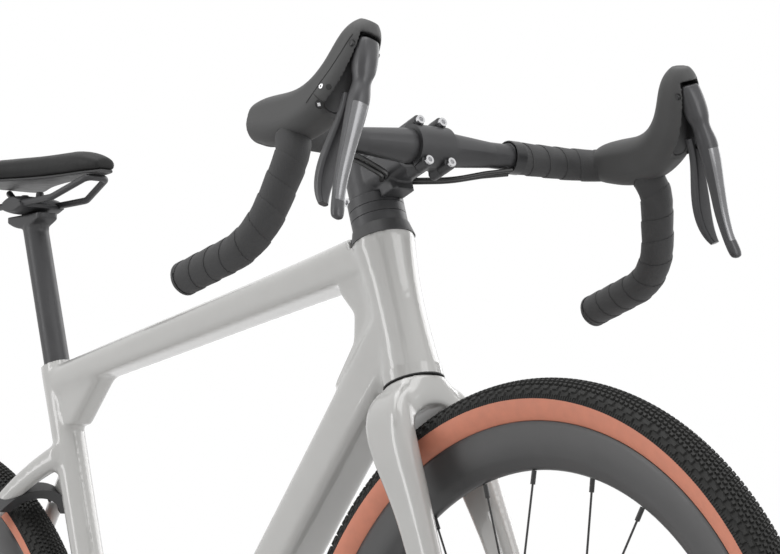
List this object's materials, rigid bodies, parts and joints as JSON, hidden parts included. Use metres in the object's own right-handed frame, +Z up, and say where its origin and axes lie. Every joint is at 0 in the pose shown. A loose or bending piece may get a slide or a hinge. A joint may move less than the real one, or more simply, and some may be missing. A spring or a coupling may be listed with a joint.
{
  "type": "gravel bike",
  "caption": "Gravel bike with flared drop bars, moulded grey frame, deep rims with tan-wall knobbed tyres, disc brakes and a chain drive with derailleurs.",
  "frame": {"origin": "on the ground under the bike, midway between the two axles", "axes": "+X forward, +Y to the rider's left, +Z up"},
  "size_m": [1.7379, 0.5058, 0.9984],
  "materials": {
    "frame_paint": "glossy warm grey lacquer over carbon",
    "black_alloy": "satin black anodised",
    "black_plastic": "matt black",
    "lever_finish": "satin grey-black",
    "hood_rubber": "matt ribbed rubber",
    "bar_wrap": "matt dimpled tape",
    "hose_cover": "black jacket",
    "tyre_rubber": "black knobbed tread, tan sidewall",
    "rim_carbon": "matt carbon",
    "spoke_steel": "black coated",
    "rotor_steel": "brushed",
    "bolt_steel": "bright",
    "bearing_steel": "plain",
    "drive_steel": "oiled",
    "drive_alloy": "dark grey anodised",
    "pedal_steel": "plain",
    "saddle_cover": "matt black synthetic cover"
  },
  "bodies": {
    "frame": {"frame": "frame_paint", "derailleur_hanger": "drive_alloy", "stay_bridge": "black_plastic", "bridge_bolts": "bolt_steel", "seat_clamp_wedge": "black_alloy", "frame_bearings": "bearing_steel", "headset_cover": "black_plastic", "front_derailleur_body": "drive_alloy", "rear_caliper": "drive_alloy", "rear_axle": "black_alloy", "rear_derailleur_body": "drive_alloy", "chain": "drive_steel"},
    "seat": {"seat_post": "black_alloy", "saddle_clamp": "black_alloy", "saddle_rails": "bearing_steel", "saddle_shell": "black_plastic", "saddle_cushion": "saddle_cover"},
    "steering": {"fork": "frame_paint", "headset_spacers": "black_alloy", "steerer_cap": "black_alloy", "stem": "black_alloy", "stem_faceplate": "black_alloy", "stem_bolts": "bolt_steel", "handlebar": "black_alloy", "bar_tape": "bar_wrap", "bar_end_plugs": "black_plastic", "control_lines": "hose_cover", "hood_left": "hood_rubber", "hood_right": "hood_rubber", "lever_bodies": "black_plastic", "front_caliper": "drive_alloy", "front_axle": "black_alloy"},
    "brake_lever_left": {"brake_lever_left": "lever_finish"},
    "brake_lever_right": {"brake_lever_right": "lever_finish"},
    "shift_paddle_left": {"shift_paddle_left": "lever_finish"},
    "shift_paddle_right": {"shift_paddle_right": "lever_finish"},
    "front_wheel": {"front_hub": "black_alloy", "front_spokes": "spoke_steel", "front_rim": "rim_carbon", "front_tyre": "tyre_rubber", "front_rotor": "rotor_steel"},
    "rear_wheel": {"rear_hub": "black_alloy", "rear_spokes": "spoke_steel", "rear_rim": "rim_carbon", "rear_tyre": "tyre_rubber", "rear_rotor": "rotor_steel"},
    "cassette": {"cassette": "drive_steel"},
    "crank": {"crank_right": "drive_alloy", "crank_left": "drive_alloy", "chainrings": "drive_alloy", "pedal_axles": "pedal_steel"},
    "pedal_left": {"pedal_left": "black_plastic"},
    "pedal_right": {"pedal_right": "black_plastic"},
    "front_derailleur_links": {"front_derailleur_links": "drive_alloy"},
    "front_derailleur_cage": {"front_derailleur_cage": "drive_alloy"},
    "rear_derailleur_links": {"rear_derailleur_links": "drive_alloy"},
    "rear_derailleur_knuckle": {"rear_derailleur_knuckle": "drive_alloy"},
    "rear_derailleur_cage": {"rear_derailleur_cage": "drive_alloy"},
    "guide_pulley": {"guide_pulley": "black_plastic"},
    "tension_pulley": {"tension_pulley": "black_plastic"}
  },
  "joints": [
    {"name": "seat_height", "type": "slide", "parent": "frame", "child": "seat", "axis": [-0.289, 0, 0.9573], "range_m": [-0.02, 0.08]},
    {"name": "steering", "type": "hinge", "parent": "frame", "child": "steering", "pos_m": [0.47175, 0, 0.33721], "axis": [-0.3107, 0, 0.9505], "range_deg": [-50, 50]},
    {"name": "front_wheel_spin", "type": "hinge", "parent": "steering", "child": "front_wheel", "pos_m": [0.517, 0, 0.352], "axis": [0, 1, 0], "continuous": true},
    {"name": "rear_wheel_spin", "type": "hinge", "parent": "frame", "child": "rear_wheel", "pos_m": [-0.517, 0, 0.352], "axis": [0, 1, 0], "continuous": true},
    {"name": "crank_spin", "type": "hinge", "parent": "frame", "child": "crank", "pos_m": [-0.09903, 0, 0.275], "axis": [0, 1, 0], "continuous": true, "deforming": ["chain"]},
    {"name": "cassette_spin", "type": "hinge", "parent": "frame", "child": "cassette", "pos_m": [-0.517, 0, 0.352], "axis": [0, 1, 0], "continuous": true},
    {"name": "pedal_left_spin", "type": "hinge", "parent": "crank", "child": "pedal_left", "pos_m": [-0.27153, 0.0665, 0.275], "axis": [0, 1, 0], "continuous": true},
    {"name": "pedal_right_spin", "type": "hinge", "parent": "crank", "child": "pedal_right", "pos_m": [0.07347, -0.0665, 0.275], "axis": [0, 1, 0], "continuous": true},
    {"name": "brake_left", "type": "hinge", "parent": "steering", "child": "brake_lever_left", "pos_m": [0.51749, 0.18622, 0.97046], "axis": [0, 0.9613, 0.2756], "range_deg": [0, 13], "stiffness_Nm_per_rad": 3, "springref_deg": -5.73},
    {"name": "brake_right", "type": "hinge", "parent": "steering", "child": "brake_lever_right", "pos_m": [0.51749, -0.18622, 0.97046], "axis": [0, 0.9613, -0.2756], "range_deg": [0, 13], "stiffness_Nm_per_rad": 3, "springref_deg": -5.73},
    {"name": "shift_left", "type": "hinge", "parent": "brake_lever_left", "child": "shift_paddle_left", "pos_m": [0.50649, 0.19945, 0.92432], "axis": [-1, 0, 0], "range_deg": [0, 20], "stiffness_Nm_per_rad": 0.6, "springref_deg": -5.73},
    {"name": "shift_right", "type": "hinge", "parent": "brake_lever_right", "child": "shift_paddle_right", "pos_m": [0.50649, -0.19945, 0.92432], "axis": [1, 0, 0], "range_deg": [0, 20], "stiffness_Nm_per_rad": 0.6, "springref_deg": -5.73},
    {"name": "front_derailleur_swing", "type": "hinge", "parent": "frame", "child": "front_derailleur_links", "pos_m": [-0.13603, -0.0315, 0.404], "axis": [1, 0, 0], "range_deg": [0, 20], "deforming": ["chain"]},
    {"name": "front_derailleur_level", "type": "hinge", "parent": "front_derailleur_links", "child": "front_derailleur_cage", "pos_m": [-0.13603, -0.038, 0.384], "axis": [1, 0, 0], "range_deg": [-20, 0]},
    {"name": "rear_derailleur_swing", "type": "hinge", "parent": "frame", "child": "rear_derailleur_links", "pos_m": [-0.518, -0.091, 0.31376], "axis": [0.788, 0, 0.6157], "range_deg": [-28, 45], "deforming": ["chain"]},
    {"name": "rear_derailleur_level", "type": "hinge", "parent": "rear_derailleur_links", "child": "rear_derailleur_knuckle", "pos_m": [-0.49829, -0.091, 0.28854], "axis": [0.788, 0, 0.6157], "range_deg": [-45, 28]},
    {"name": "rear_cage_swing", "type": "hinge", "parent": "rear_derailleur_knuckle", "child": "rear_derailleur_cage", "pos_m": [-0.49029, -0.0504, 0.2783], "axis": [0, 1, 0], "range_deg": [-40, 15], "stiffness_Nm_per_rad": 4, "deforming": ["chain"]},
    {"name": "guide_pulley_spin", "type": "hinge", "parent": "rear_derailleur_cage", "child": "guide_pulley", "pos_m": [-0.503, -0.0504, 0.242], "axis": [0, 1, 0], "continuous": true},
    {"name": "tension_pulley_spin", "type": "hinge", "parent": "rear_derailleur_cage", "child": "tension_pulley", "pos_m": [-0.47268, -0.0504, 0.17014], "axis": [0, 1, 0], "continuous": true}
  ],
  "couplings": [
    {"joint": "cassette_spin", "follows": "crank_spin", "ratio": 3.0667},
    {"joint": "tension_pulley_spin", "follows": "crank_spin", "ratio": 4.1818},
    {"joint": "guide_pulley_spin", "follows": "crank_spin", "ratio": -4.1818},
    {"joint": "rear_derailleur_level", "follows": "rear_derailleur_swing", "ratio": -1},
    {"joint": "front_derailleur_level", "follows": "front_derailleur_swing", "ratio": -1}
  ]
}
